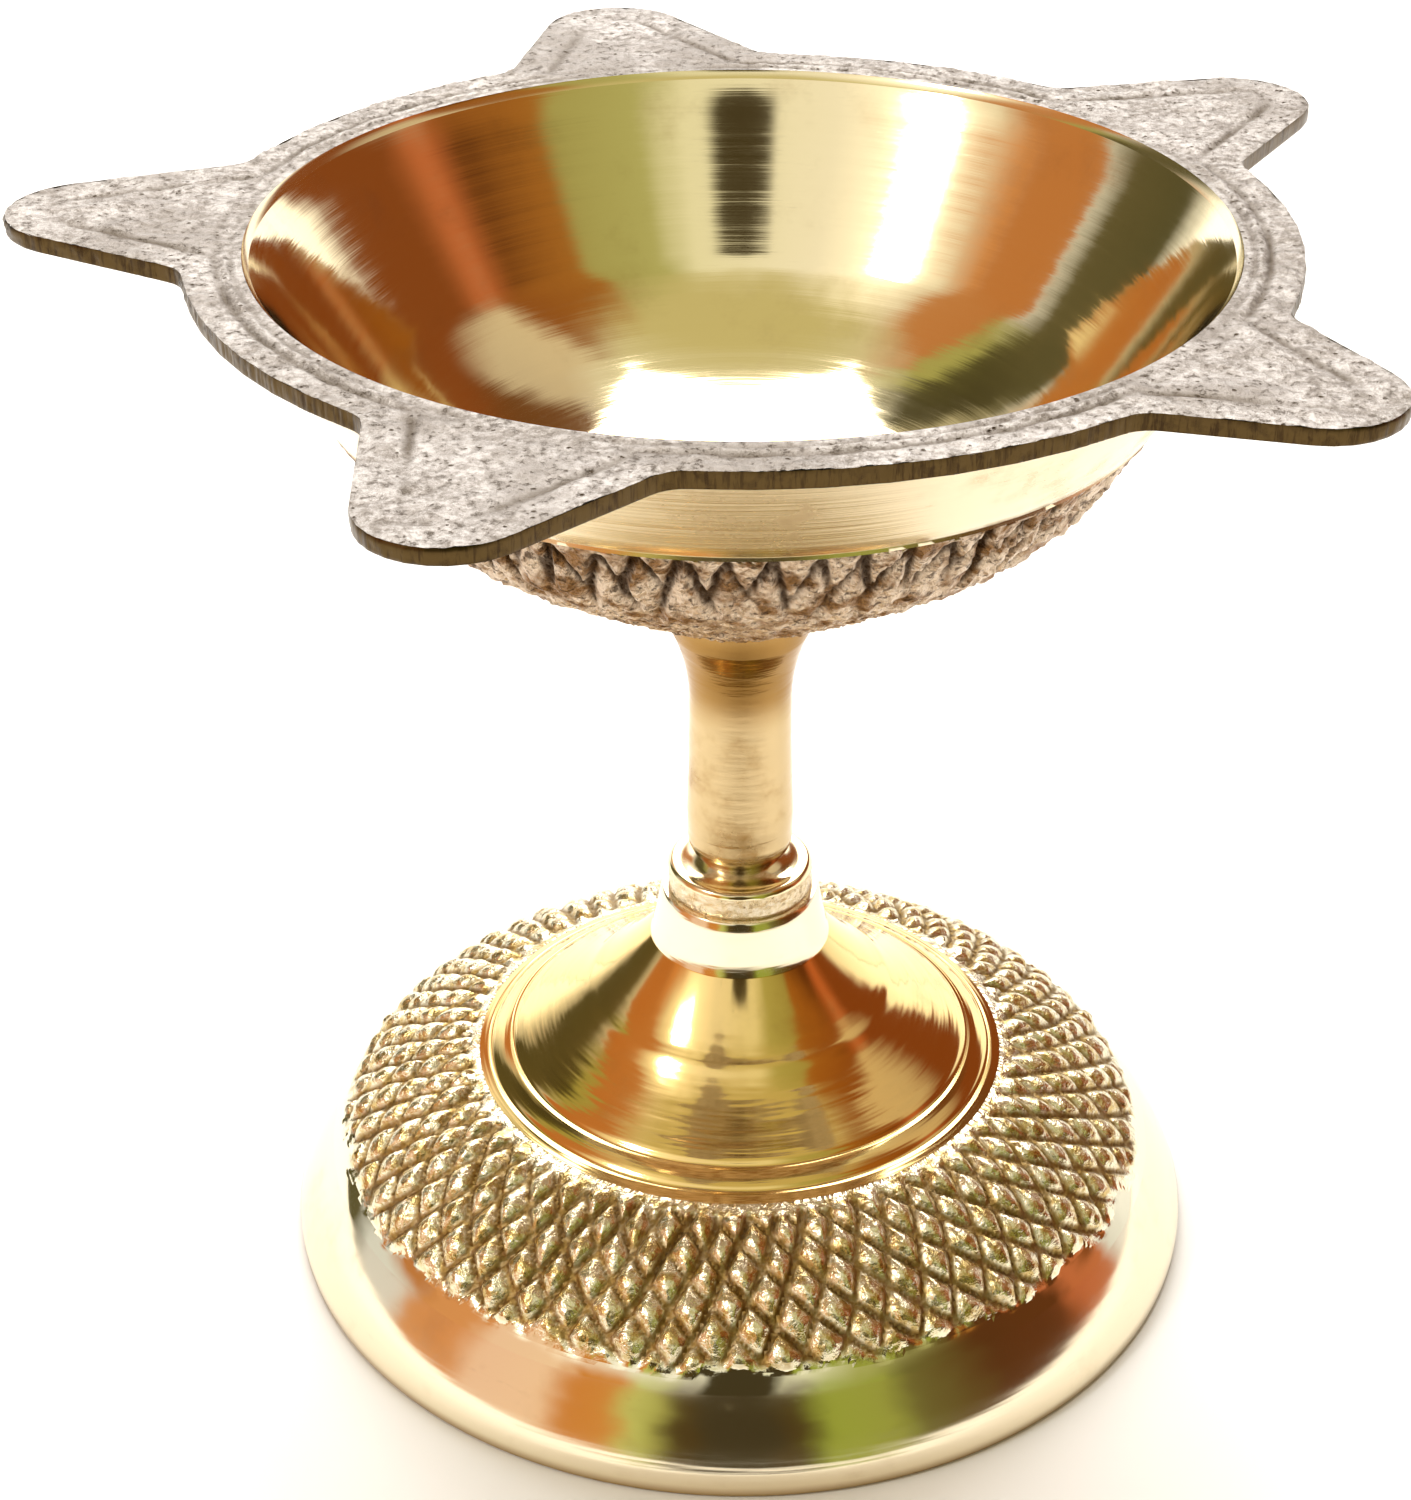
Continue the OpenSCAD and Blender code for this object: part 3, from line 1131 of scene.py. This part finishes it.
@dataclass
class BowlWall:
    """The bowl under its flange: mirror inside, plain and chiselled bands outside."""

    columns: int = 560
    bottom_z: float = 53.2
    turn: Point = (23.2, 63.9)
    mouth: Point = (30.6, 75.5)
    seam_z: float = 75.0
    wall_top: Point = (31.9, 74.4)
    belly_top: Point = (24.6, 63.0)
    belly_low: Point = (19.0, 57.6)
    foot: Point = (4.65, 48.9)
    bore_r: float = 2.02
    bore_top_z: float = 52.3
    score_z: float = 66.3
    lean: float = 0.72
    cast_lump: float = 0.26
    cast_from: Point = (0, 2.5)
    smooth_foot: Point = (4.7, 6.2)
    crease: float = 45.0
    chisel: CutPattern = CutPattern((63, 63), (-13, 9), 0.1, 0.6, 0.46, 0.06, 0.11, 0.18,
                                     7.0, 2.5, 23)

    def along(self, places: np.ndarray) -> tuple[np.ndarray, np.ndarray, np.ndarray]:
        """Where points of the belly lie in the chiselled band.

        Args:
            places: Points on the belly.

        Returns:
            Angle around the axis, distance down from the scored ring, and radius.
        """
        angle, radius = around(places)
        path = np.array(self.belly())
        run = np.concatenate([[0], np.cumsum(np.hypot(*np.diff(path, axis=0).T))])
        return angle, np.interp(-radius, -path[:, 0], run), radius

    def belly(self) -> list[Point]:
        """The outline of the belly.

        Returns:
            Radius and height of each point, from the scored ring down to the stem.
        """
        upper = Bow(self.wall_top, self.belly_top, -0.15).points(0.26)
        start = [spot for spot in upper if spot[1] < self.score_z]
        return [*start, *Bow(self.belly_top, self.belly_low, -0.55).points(0.26),
                *Bow(self.belly_low, self.foot, -0.1).points(0.3)]

    def carve(self, places: np.ndarray) -> np.ndarray:
        """Cuts the chisel marks and roughens the belly towards the stem.

        Args:
            places: Points on the belly.

        Returns:
            The moved points.
        """
        angle, along, radius = self.along(places)
        relief, _, _ = self.chisel.relief(angle, along, radius)
        rough = grain(places, 1.3, 4, 2) * self.cast_lump * smooth_step(*self.cast_from, along)
        lift = (relief + rough * smooth_step(*self.smooth_foot, radius)) * self.lean
        return pushed(places, angle, lift, -lift)

    def marks(self, places: np.ndarray) -> np.ndarray:
        """How deep in a chisel mark the belly's points lie; all of it is rough.

        Args:
            places: Points on the belly.

        Returns:
            Two numbers for each point, from 0 to 1.
        """
        marks = self.chisel.marks(*self.along(places))
        marks[:, 1] = 1
        return marks

    def build(self) -> bpy.types.Object:
        """Builds and dresses the wall.

        Returns:
            The bowl's wall.
        """
        turning = Turning(self.columns)
        wall = Bow(self.turn, self.mouth, 0.12).points(0.9)
        inside = [(0, self.bottom_z), *Bow((0, self.bottom_z), self.turn, 2.8).points(0.9),
                  *[spot for spot in wall if spot[1] < self.seam_z - 0.3]]
        seam = (self.mouth[0] - 0.19, self.seam_z)
        turning.zone([*inside, seam], BowlZone.MIRROR)
        plain = [spot for spot in Bow(self.wall_top, self.belly_top, -0.15).points(0.26)
                 if spot[1] >= self.score_z]
        ring = self.belly()[0]
        turning.zone([seam, (31.5, 74.8), (self.wall_top[0], 74.75), self.wall_top,
                      *plain[1:-3:3], (plain[-2][0] - 0.02, plain[-2][1]),
                      (plain[-1][0] - 0.22, plain[-1][1]), ring], BowlZone.PLAIN)
        turning.zone(self.belly(), BowlZone.CHISELLED, self.carve, self.marks)
        turning.zone([self.foot, (self.bore_r, self.foot[1]), (self.bore_r, self.bore_top_z),
                      (0, self.bore_top_z)], BowlZone.PLAIN)
        made = turning.piece("bowl_wall", [
            Turned("bowl_mirror", BRASS, BROWN, 0.05, 0.004, 0.02, 3.5, 0.07).material(),
            Turned("bowl_plain_band", (0.89, 0.77, 0.54), (0.50, 0.31, 0.11), 0.13, 0.02, 0.03,
                   2.6, 0.16, 0.6).material(),
            HandCut("bowl_chisel", (0.74, 0.60, 0.46), (0.28, 0.15, 0.06), 0.18,
                    (0.045, 0.02, 0.006), 0.3, 0.8, 1.5).material()], self.crease)
        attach(made, "upper")
        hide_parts("bowl")
        return made


class FlangeZone(Enum):
    """Finishes of the bowl's flange."""

    CAST = 0
    EDGE = 1
    CHAMFER = 2


@dataclass
class Flange:
    """The flat cast flange with its five wick lips, grooved along its edge."""

    columns: int = 1440
    mouth_r: float = 30.6
    seam: Point = (30.41, 75.0)
    top_z: float = 75.5
    low_z: float = 74.4
    chamfer: float = 0.22
    rows: int = 30
    lip_from: float = 35.2
    leaf_inset: float = 2.7
    arc_r: float = 32.45
    groove_width: float = 0.3
    groove_depth: float = 0.17
    second_arc: float = 0.95
    bead_inset: float = 0.62
    bead_width: float = 0.25
    bead_height: float = 0.07
    long_lip_r: float = 44.2
    leaf_start: Point = (32.2, 33.6)
    tip_fade: Point = (2.9, 4.2)
    lump_height: float = 0.12
    crease: float = 50.0
    seed: int = 5

    def outline(self, angle: np.ndarray) -> np.ndarray:
        """Radius of the flange's edge, read from the bowl's solid.

        Args:
            angle: Directions in radians.

        Returns:
            The edge's radius in each direction.
        """
        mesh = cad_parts["bowl"].data
        flat = np.zeros(len(mesh.vertices) * 3)
        mesh.vertices.foreach_get("co", flat)
        spots = flat.reshape(-1, 3) / MM
        reach = np.hypot(spots[:, 0], spots[:, 1])
        rim = spots[(spots[:, 2] > self.top_z - 0.02) & (reach > self.mouth_r + 2)]
        turn = np.arctan2(rim[:, 1], rim[:, 0])
        order = np.argsort(turn)
        rim, turn = rim[order], turn[order]
        after = np.searchsorted(turn, angle) % len(turn)
        one, two = rim[after - 1], rim[after]
        way = np.stack([np.cos(angle), np.sin(angle)], 1)
        chord = two - one
        cross = one[:, 0] * chord[:, 1] - one[:, 1] * chord[:, 0]
        over = way[:, 0] * chord[:, 1] - way[:, 1] * chord[:, 0]
        plain = np.hypot(one[:, 0], one[:, 1])
        safe = np.abs(over) > 1e-6
        return np.where(safe, cross / np.where(safe, over, 1), plain)

    def spread(self, places: np.ndarray) -> np.ndarray:
        """Stretches rings of radius 0 to 1 out to the edge, as the lips run.

        Args:
            places: Points whose radius is their part of the way to the edge.

        Returns:
            Points on the flange.
        """
        angle, share = around(places)
        inner = self.mouth_r + self.chamfer
        radius = inner + (share - 1) * (self.outline(angle) - inner)
        return np.stack([np.cos(angle) * radius, np.sin(angle) * radius, places[:, 2]], 1)

    def grooves(self, places: np.ndarray) -> np.ndarray:
        """How deep in the cast grooves the points lie, from 0 to 1.

        Args:
            places: Points on the flange's top.

        Returns:
            The depth at each point.
        """
        edge = np.linspace(-math.pi, math.pi, self.columns * 2, endpoint=False)
        reach = self.outline(edge)
        tree = kdtree.KDTree(len(edge))
        for i, (turn, far) in enumerate(zip(edge, reach)):
            tree.insert((math.cos(turn) * far, math.sin(turn) * far, 0), i)
        tree.balance()
        inset = np.array([tree.find((x, y, 0))[2] for x, y, _ in places.tolist()])
        angle, radius = around(places)
        out = self.outline(angle)
        lip = smooth_step(self.lip_from, self.lip_from + 2.5, out)
        tip = smooth_step(*self.tip_fade, out - radius + (out < self.long_lip_r) * 3)
        wear = np.clip(0.75 + 0.5 * grain(places, 4, 2, self.seed), 0.25, 1)
        leaf = bell(inset, self.leaf_inset, self.groove_width) * lip * (0.35 + 0.65 * tip)
        leaf *= smooth_step(*self.leaf_start, radius)
        arc = bell(radius, self.arc_r, self.groove_width * 0.8) * (1 - lip * 0.6)
        arc += bell(radius, self.arc_r - self.second_arc, self.groove_width * 0.6) * 0.6
        return np.clip(leaf + arc, 0, 1) * wear

    def cast_top(self, places: np.ndarray) -> np.ndarray:
        """Spreads the top, roughens it and sinks its grooves.

        Args:
            places: Points whose radius is their part of the way to the edge.

        Returns:
            Points on the flange's top.
        """
        spread = self.spread(places)
        angle, radius = around(spread)
        border = smooth_step(self.mouth_r + self.chamfer, self.mouth_r + 1.4, radius)
        rough = grain(spread, 2.0, 5, self.seed) * self.lump_height * border
        bead = bell(radius, self.arc_r - self.bead_inset, self.bead_width) * self.bead_height
        bead *= 1 - smooth_step(self.lip_from, self.lip_from + 2, self.outline(angle))
        spread[:, 2] += rough + bead - self.grooves(spread) * self.groove_depth
        return spread

    def top_marks(self, places: np.ndarray) -> np.ndarray:
        """How deep in a groove the top's points lie; all of it is as cast."""
        return np.stack([self.grooves(self.spread(places)), np.ones(len(places))], 1)

    def file_edge(self, places: np.ndarray) -> np.ndarray:
        """Spreads the edge and leaves file strokes and casting lumps on it.

        Args:
            places: Points whose radius is their part of the way to the edge.

        Returns:
            Points on the flange's edge.
        """
        spread = self.spread(places)
        angle, _ = around(spread)
        rng = np.random.default_rng(self.seed)
        stroke = rng.uniform(-0.04, 0.03, self.columns)
        column = np.mod(np.round(angle / math.tau * self.columns).astype(int), self.columns)
        lumpy = 0.05 + 0.14 * bell(np.abs(angle), math.pi, 0.3)
        middle = 1 - np.abs(spread[:, 2] - (self.top_z + self.low_z) / 2) / 0.56
        move = (stroke[column] + grain(spread, 1.1, 3, 9) * lumpy) * np.clip(middle + 0.35, 0, 1)
        return pushed(spread, angle, move)

    def rough_bottom(self, places: np.ndarray) -> np.ndarray:
        """Spreads the underside and roughens it.

        Args:
            places: Points whose radius is their part of the way to the edge.

        Returns:
            Points on the flange's underside.
        """
        spread = self.spread(places)
        angle, radius = around(spread)
        inner = smooth_step(31.8, 32.8, radius)
        far = self.outline(angle) - radius
        spread[:, 2] += grain(spread, 1.8, 3, 13) * 0.05 * inner * smooth_step(0.02, 0.5, far)
        return spread

    def build(self) -> bpy.types.Object:
        """Builds and dresses the flange.

        Returns:
            The flange.
        """
        turning = Turning(self.columns)
        inner = self.mouth_r + self.chamfer
        step = 1 / self.rows
        top = [(1 + step * i, self.top_z) for i in range(self.rows + 1)]
        top[-1] = (1.9995, self.top_z - 0.03)
        turning.zone(top, FlangeZone.CAST, self.cast_top, self.top_marks)
        turning.zone([top[-1], (2.004, self.top_z - 0.14), (2.006, self.top_z - 0.34),
                      (2.004, self.top_z - 0.56), (2.002, self.low_z + 0.3),
                      (2.0, self.low_z + 0.1), (1.992, self.low_z)],
                     FlangeZone.EDGE, self.file_edge)
        turning.zone([(part, self.low_z) for part in (1.992, 1.95, 1.8, 1.6, 1.4, 1.2, 1.06)],
                     FlangeZone.CAST, self.rough_bottom)
        turning.zone([(inner, self.top_z), (self.seam[0] + 0.3, self.top_z - 0.2), self.seam],
                     FlangeZone.CHAMFER)
        made = turning.piece("bowl_flange", [
            SandCast("flange_cast", (0.50, 0.465, 0.43), (0.22, 0.19, 0.16), 0.40,
                     (0.09, 0.065, 0.04), 0.14, 0.6).material(),
            Filed("flange_edge", (0.095, 0.06, 0.022), (0.045, 0.027, 0.012), 0.18).material(),
            Turned("mouth_chamfer", BRASS, BROWN, 0.1).material()], self.crease)
        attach(made, "upper")
        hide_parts("bowl")
        return made


# ---------------------------------------------------------------- studio

@dataclass(frozen=True)
class Softbox:
    """A soft light that faces the lamp.

    Args:
        name: Name of the light.
        place: Where it hangs, in millimetres.
        size: Its width and height in millimetres.
        power: Its power in watts.
    """

    name: str
    place: tuple[float, float, float]
    size: Point
    power: float


@dataclass(frozen=True)
class Patch:
    """A patch of colour on the room's walls, with soft edges.

    Args:
        left: Where it starts and is full, as a part of the way around.
        right: Where it fades and is gone.
        above: Height at which it starts and is full, from 0 at the floor to 1 overhead.
        colour: Its colour.
    """

    left: Point
    right: Point
    above: Point
    colour: Colour


@dataclass
class Studio:
    """The pale floor, the room around the lamp, its soft lights and the camera.

    Args:
        floor_half: Half the floor's side in metres.
        aim: Where the lights point, in millimetres.
        eye: Place of the camera in millimetres.
        pitch: How far the camera looks down, in degrees.
        yaw: How far it is turned to the left, in degrees.
        roll: How far it leans, in radians.
        lens: Its focal length in millimetres.
        walls: Colours of the walls around the room.
        cornice: Colours over the walls.
        vault: Colours overhead, from the front to the back.
        patches: Patches on the walls.
        band: Colour of the dark upright band.
        boxes: The soft lights.
    """

    floor_half: float = 3.0
    aim: tuple[float, float, float] = (0, 0, 45)
    eye: tuple[float, float, float] = (0, -177.62, 144.35)
    pitch: float = 30.95
    yaw: float = 0.768
    roll: float = -0.0038
    lens: float = 77.2
    walls: tuple[tuple[float, Colour], ...] = (
        (0.0, (1.7, 1.7, 1.7)), (0.09, (1.9, 1.9, 1.9)), (0.125, (0.10, 0.09, 0.04)),
        (0.18, (0.13, 0.11, 0.05)), (0.205, (0.75, 0.75, 0.75)), (0.245, (0.78, 0.76, 0.75)),
        (0.26, (0.72, 0.32, 0.12)), (0.30, (0.74, 0.32, 0.12)), (0.32, (0.92, 0.62, 0.45)),
        (0.37, (0.95, 0.66, 0.46)), (0.385, (0.66, 0.25, 0.05)), (0.415, (0.68, 0.28, 0.06)),
        (0.43, (0.58, 0.60, 0.18)), (0.445, (0.46, 0.46, 0.12)), (0.46, (0.08, 0.05, 0.015)),
        (0.54, (0.08, 0.05, 0.015)), (0.56, (0.34, 0.40, 0.06)), (0.60, (0.34, 0.37, 0.07)),
        (0.62, (0.17, 0.15, 0.04)), (0.68, (0.11, 0.038, 0.010)), (0.735, (0.13, 0.04, 0.01)),
        (0.755, (0.56, 0.16, 0.06)), (0.785, (0.58, 0.18, 0.07)), (0.80, (0.80, 0.78, 0.76)),
        (0.90, (1.7, 1.7, 1.7)))
    cornice: tuple[tuple[float, Colour], ...] = (
        (0.09, (1.4, 1.4, 1.4)), (0.12, (0.5, 0.46, 0.32)), (0.135, (0.07, 0.06, 0.025)),
        (0.175, (0.09, 0.08, 0.03)), (0.19, (0.44, 0.44, 0.15)), (0.205, (0.42, 0.40, 0.14)),
        (0.215, (0.56, 0.23, 0.08)), (0.265, (0.58, 0.25, 0.09)), (0.29, (0.88, 0.80, 0.68)),
        (0.34, (1.5, 1.45, 1.35)), (0.42, (1.0, 0.97, 0.9)), (0.55, (0.88, 0.87, 0.68)),
        (0.59, (0.48, 0.48, 0.2)), (0.655, (0.42, 0.40, 0.15)), (0.67, (0.40, 0.16, 0.03)),
        (0.755, (0.30, 0.10, 0.02)), (0.775, (0.72, 0.60, 0.44)), (0.84, (0.62, 0.52, 0.40)),
        (0.855, (0.18, 0.07, 0.02)), (0.92, (0.15, 0.06, 0.02)), (0.935, (0.9, 0.8, 0.7)),
        (0.96, (1.4, 1.4, 1.4)))
    vault: tuple[tuple[float, Colour], ...] = (
        (0.42, (0.62, 0.56, 0.29)), (0.72, (1.0, 1.0, 1.0)))
    patches: tuple[Patch, ...] = (
        Patch((0.20, 0.21), (0.25, 0.27), (0.16, 0.30), (0.56, 0.22, 0.07)),
        Patch((0.02, 0.04), (0.10, 0.12), (0.28, 0.38), (0.56, 0.22, 0.07)),
        Patch((0.76, 0.79), (0.965, 0.98), (0.16, 0.26), (0.25, 0.07, 0.016)))
    band: Colour = (0.06, 0.045, 0.02)
    boxes: tuple[Softbox, ...] = (
        Softbox("back_window", (30, 760, 620), (330, 380), 1.1),
        Softbox("ceiling", (0, 640, 1400), (1300, 1250), 27.0),
        Softbox("key_lamp", (-330, -200, 430), (90, 90), 0.55),
    )

    def floor(self) -> None:
        """Lays the pale floor."""
        bm = bmesh.new()
        bmesh.ops.create_grid(bm, x_segments=1, y_segments=1, size=self.floor_half)
        mesh = bpy.data.meshes.new("pale_floor")
        bm.to_mesh(mesh)
        bm.free()
        made = bpy.data.objects.new("pale_floor", mesh)
        bpy.context.scene.collection.objects.link(made)
        paper = bpy.data.materials.new("floor_paper")
        paper.use_nodes = True
        bench = Bench(paper.node_tree)
        shade = bench.cloud(bench.place(), 0.01, 2).step(0.2, 0.8)
        colour = bench.blend(shade, (0.93, 0.93, 0.93), (0.96, 0.96, 0.96))
        shader = bench.out("ShaderNodeBsdfPrincipled", None,
                           {"Base Color": colour, "Roughness": 0.8})
        bench.node("ShaderNodeOutputMaterial", None, {"Surface": shader})
        mesh.materials.append(paper)

    def room(self) -> None:
        """Sets the room's light: coloured walls, patches and a dark band under a pale vault."""
        world = bpy.data.worlds.new("soft_room")
        bpy.context.scene.world = world
        world.use_nodes = True
        bench = Bench(world.node_tree)
        place = bench.out("ShaderNodeTexCoord", output="Generated")
        x, y, z = bench.axes(place)
        ramp = "ShaderNodeValToRGB"
        turn = bench.out("ShaderNodeMath", {"operation": "ARCTAN2"}, {0: x, 1: 0 - y})
        stir = bench.cloud(place, 7.0, 2, 0.5) * 0.024 - 0.012
        way = turn * (1 / math.tau) + 0.5 + stir
        colour = bench.out(ramp, {"stops": self.walls}, {0: way})
        cornice = bench.out(ramp, {"stops": self.cornice}, {0: way})
        vault = bench.out(ramp, {"stops": self.vault}, {0: y * 0.5 + 0.5})
        lean = z + stir * 4.0
        for patch in self.patches:
            mask = way.step(*patch.left) * (1 - way.step(*patch.right)) * lean.step(*patch.above)
            colour = bench.blend(mask, colour, patch.colour)
        colour = bench.blend(lean.step(0.46, 0.66), colour, cornice)
        colour = bench.blend(lean.step(0.80, 0.93), colour, vault)
        upright = (1 - ((way - 0.5) * 32.0) ** 2.0) * 1.8 * (1 - lean.step(0.70, 0.77))
        colour = bench.blend(upright, colour, self.band)
        light = bench.out("ShaderNodeBackground", None, {"Color": colour, "Strength": 1.0})
        bench.node("ShaderNodeOutputWorld", None, {"Surface": light})

    def lights(self) -> None:
        """Hangs the soft lights."""
        for box in self.boxes:
            lamp = bpy.data.lights.new(box.name, "AREA")
            lamp.shape = "RECTANGLE"
            lamp.size, lamp.size_y = box.size[0] * MM, box.size[1] * MM
            lamp.energy = box.power
            held = bpy.data.objects.new(box.name, lamp)
            held.location = Vector(box.place) * MM
            way = Vector(self.aim) - Vector(box.place)
            held.rotation_euler = way.to_track_quat("-Z", "Y").to_euler()
            bpy.context.scene.collection.objects.link(held)

    def camera(self) -> None:
        """Sets the camera in front of the lamp and above it."""
        lens = bpy.data.cameras.new("front_view")
        lens.sensor_fit = "HORIZONTAL"
        lens.sensor_width = 36
        lens.lens = self.lens
        lens.clip_start = 0.005
        held = bpy.data.objects.new("front_view", lens)
        turn = Euler((math.radians(90 - self.pitch), 0, math.radians(self.yaw))).to_matrix()
        held.matrix_world = (Matrix.Translation(Vector(self.eye) * MM)
                             @ (turn @ Matrix.Rotation(self.roll, 3, "Z")).to_4x4())
        bpy.context.scene.collection.objects.link(held)
        bpy.context.scene.camera = held

    def build(self) -> None:
        """Sets up the floor, the light and the camera."""
        self.floor()
        self.room()
        self.lights()
        self.camera()
        bpy.context.scene.view_settings.view_transform = "Standard"


# ---------------------------------------------------------------- the lamp

def report(made: bpy.types.Object) -> None:
    """Logs a piece's name and its number of faces."""
    LOG.info("%s: %d faces", made.name, len(made.data.polygons))


def main() -> None:
    """Builds the lamp from the foot up, then the studio."""
    logging.basicConfig(level=logging.INFO, format="%(name)s %(message)s")
    for part in (Base(), Collar(), Stem(), StemStud(), BowlWall(), Flange()):
        report(part.build())
    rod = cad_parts["bowl_stud"]
    rod.data.materials.clear()
    rod.data.materials.append(Threaded("bowl_stud_rod", (0.74, 0.56, 0.26), BROWN,
                                       0.24).material())
    report(rod)
    Studio().build()


if __name__ == "__main__":
    main()
